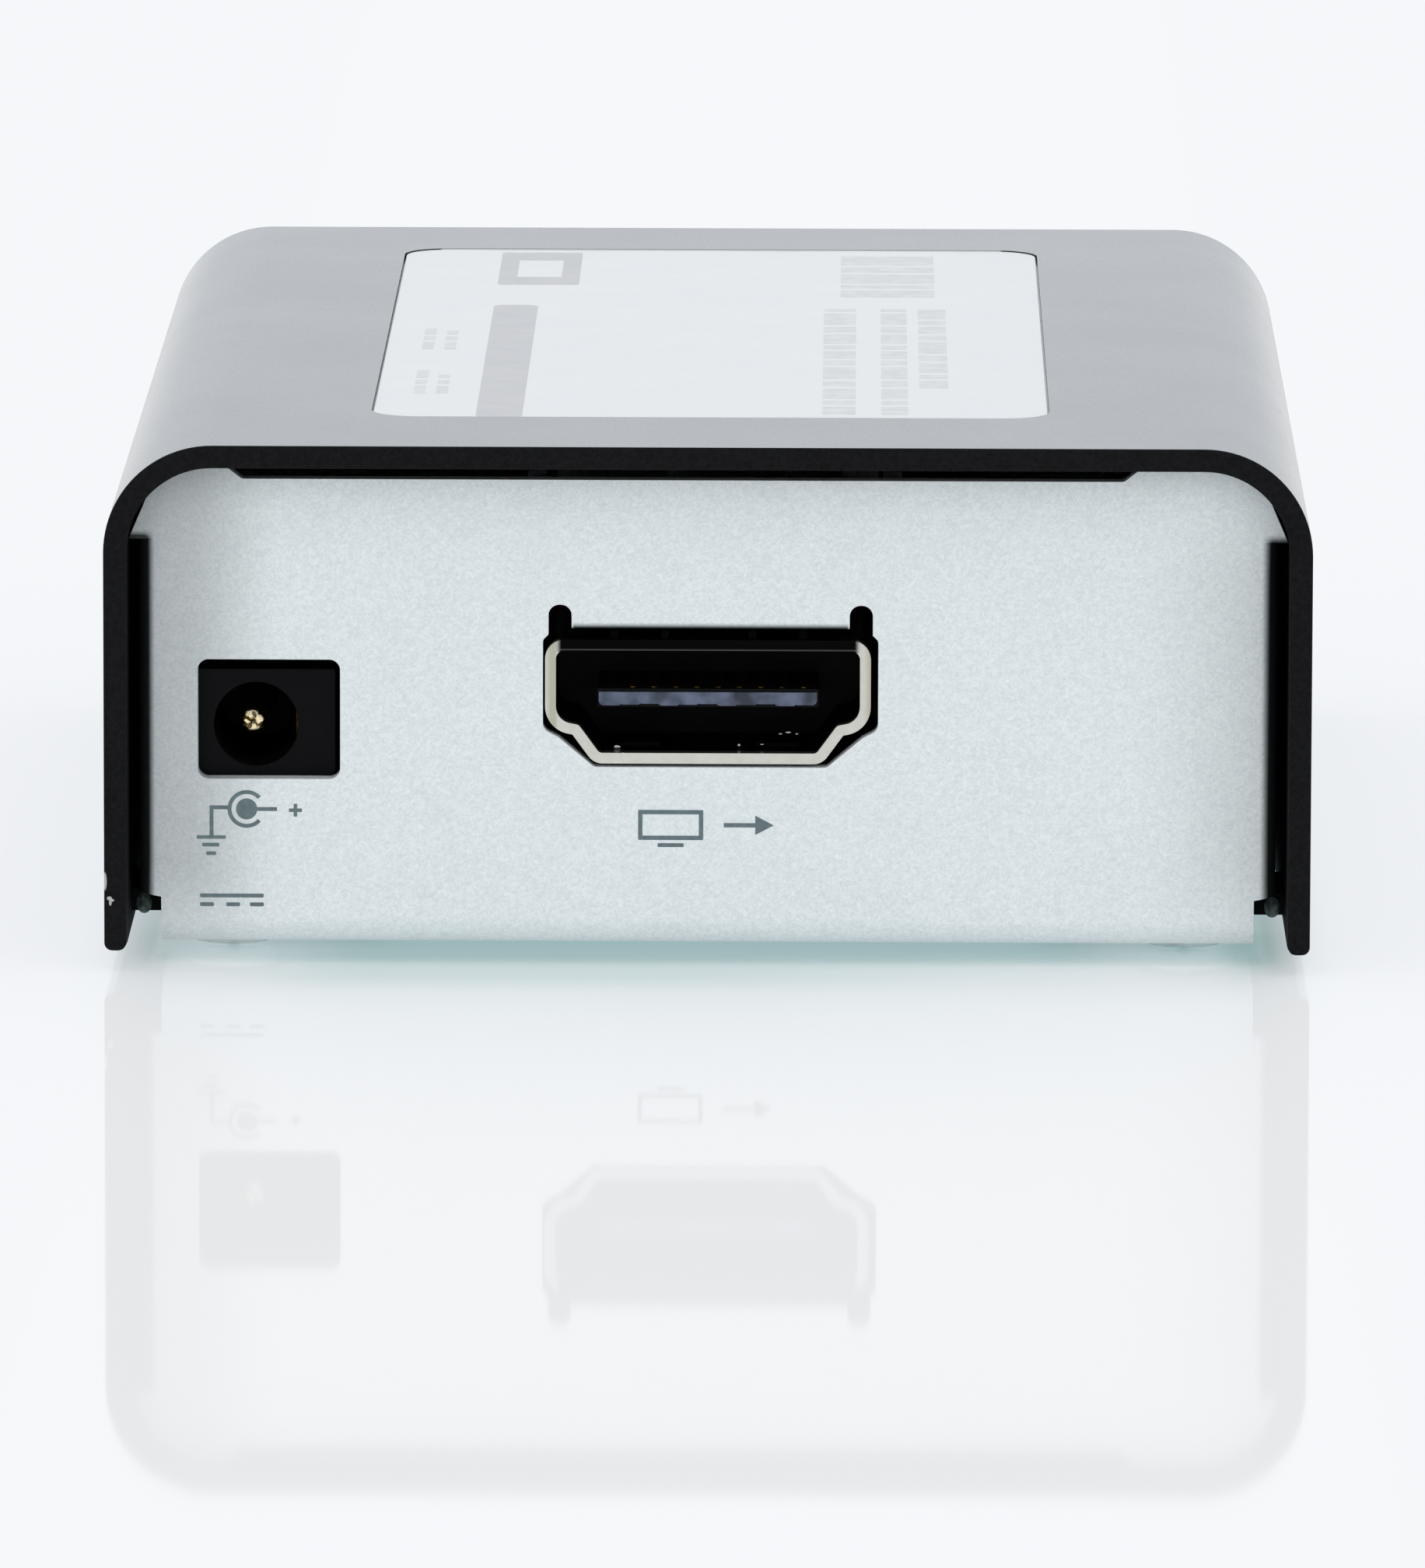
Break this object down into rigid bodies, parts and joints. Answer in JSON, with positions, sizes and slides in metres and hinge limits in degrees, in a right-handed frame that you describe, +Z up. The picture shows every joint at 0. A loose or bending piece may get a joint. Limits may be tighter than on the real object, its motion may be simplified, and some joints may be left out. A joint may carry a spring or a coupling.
{
  "type": "twisted-pair video receiver",
  "caption": "Small flat metal box: a folded cover over a folded tray, with a video socket and a power jack at the front and a network jack at the back.",
  "frame": {"origin": "on the surface that the rubber feet rest on, under the middle of the casing", "axes": "+Z up, front panel with the video socket and power jack faces -Y, network jack faces +Y"},
  "size_m": [0.0556, 0.079, 0.0245],
  "materials": {
    "cover_paint": "black satin powder paint",
    "label_film": "smooth printed film",
    "panel_paint": "silver metallic paint",
    "foot_rubber": "matt",
    "screw_steel": "zinc plated",
    "standoff_steel": "nickel plated",
    "insulating_film": "smooth film",
    "board_laminate": "solder resist",
    "socket_nickel": "bright nickel",
    "contact_gold": "gold flash",
    "socket_plastic": "moulded",
    "tinned_copper": "tinned",
    "lamp_plastic": "clear moulded",
    "shield_steel": "nickel plated",
    "chip_plastic": "moulded epoxy",
    "thermal_pad": "soft",
    "sink_aluminium": "black anodised",
    "can_metal": "bright can",
    "transformer_plastic": "moulded",
    "ferrite": "pressed ferrite",
    "ceramic": "fired ceramic"
  },
  "bodies": {
    "root": {"top_cover": "cover_paint", "label_plate": "label_film", "chassis_tray": "panel_paint", "rubber_feet": "foot_rubber", "cover_screws": "screw_steel", "board_standoffs": "standoff_steel", "board_screws": "screw_steel", "insulating_film": "insulating_film", "circuit_board": "board_laminate", "video_socket_shell": "socket_nickel", "video_socket_upper_contacts": "contact_gold", "video_socket_lower_contacts": "contact_gold", "video_socket_insulator": "socket_plastic", "power_jack_pin": "contact_gold", "power_jack_pin_tag": "tinned_copper", "power_jack_leaf_spring": "tinned_copper", "power_jack_housing": "socket_plastic", "network_jack_contacts": "contact_gold", "network_jack_lamps": "lamp_plastic", "network_jack_insert": "socket_plastic", "network_jack_shield": "shield_steel", "receiver_chip": "chip_plastic", "thermal_pad": "thermal_pad", "receiver_heat_sink": "sink_aluminium", "video_driver_chip": "chip_plastic", "controller_chip": "chip_plastic", "clock_crystal": "can_metal", "line_transformer": "transformer_plastic", "line_transformer_leads": "tinned_copper", "capacitor_bases": "socket_plastic", "supply_capacitors": "can_metal", "power_inductor": "ferrite", "voltage_regulator": "chip_plastic", "ceramic_parts": "ceramic"}
  },
  "joints": []
}
